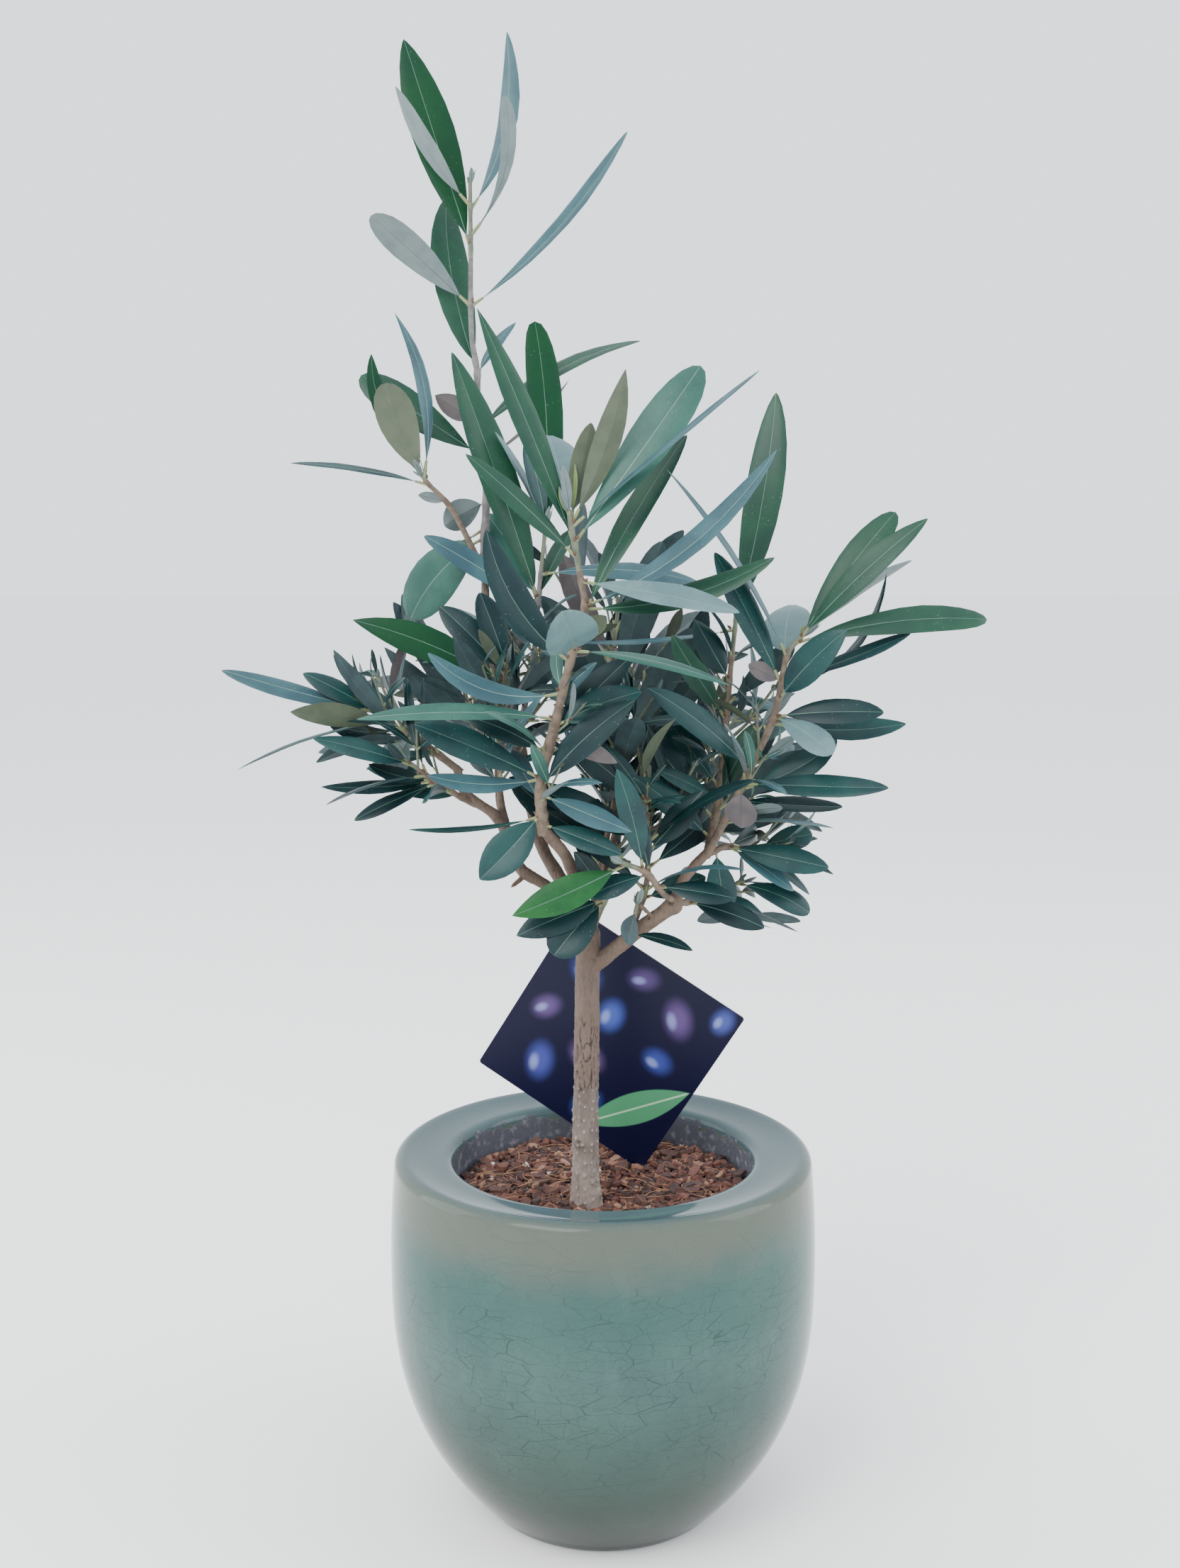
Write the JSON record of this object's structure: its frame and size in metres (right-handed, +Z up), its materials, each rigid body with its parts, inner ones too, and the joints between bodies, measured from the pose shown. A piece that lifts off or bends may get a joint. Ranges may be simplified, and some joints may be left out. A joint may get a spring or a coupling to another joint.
{
  "type": "potted olive tree",
  "caption": "Young olive tree with a bare trunk, forked boughs and an open crown of narrow leaves, in a round glazed pot with soil and a plant card.",
  "frame": {"origin": "centre of the pot's flat underside", "axes": "+Z up along the pot's axis; the side the picture shows faces -Y"},
  "size_m": [0.2675, 0.2069, 0.5474],
  "materials": {
    "glaze": "glossy",
    "soil": "matte",
    "card": "satin",
    "bark": "matte",
    "foliage": "satin"
  },
  "bodies": {
    "root": {"pot": "glaze", "soil": "soil", "plant_card": "card", "trunk": "bark", "right_bough": "bark", "right_rise": "bark", "front_bough": "bark", "leader_bough": "bark", "left_bough": "bark", "left_back_bough": "bark", "back_bough": "bark", "leader_shoot": "foliage", "left_upper_shoot": "foliage", "front_shoot": "foliage", "upright_shoot": "foliage", "middle_right_shoot": "foliage", "upper_right_shoot": "foliage", "right_side_shoot": "foliage", "right_low_shoot": "foliage", "knob_shoot": "foliage", "left_shoot": "foliage", "left_low_shoot": "foliage", "left_inner_shoot": "foliage", "centre_shoot": "foliage", "inner_low_shoot": "foliage", "fork_shoot": "foliage", "bough_sprig": "foliage", "back_low_shoot": "foliage", "back_top_shoot": "foliage", "back_left_shoot": "foliage", "back_right_shoot": "foliage"}
  },
  "joints": []
}
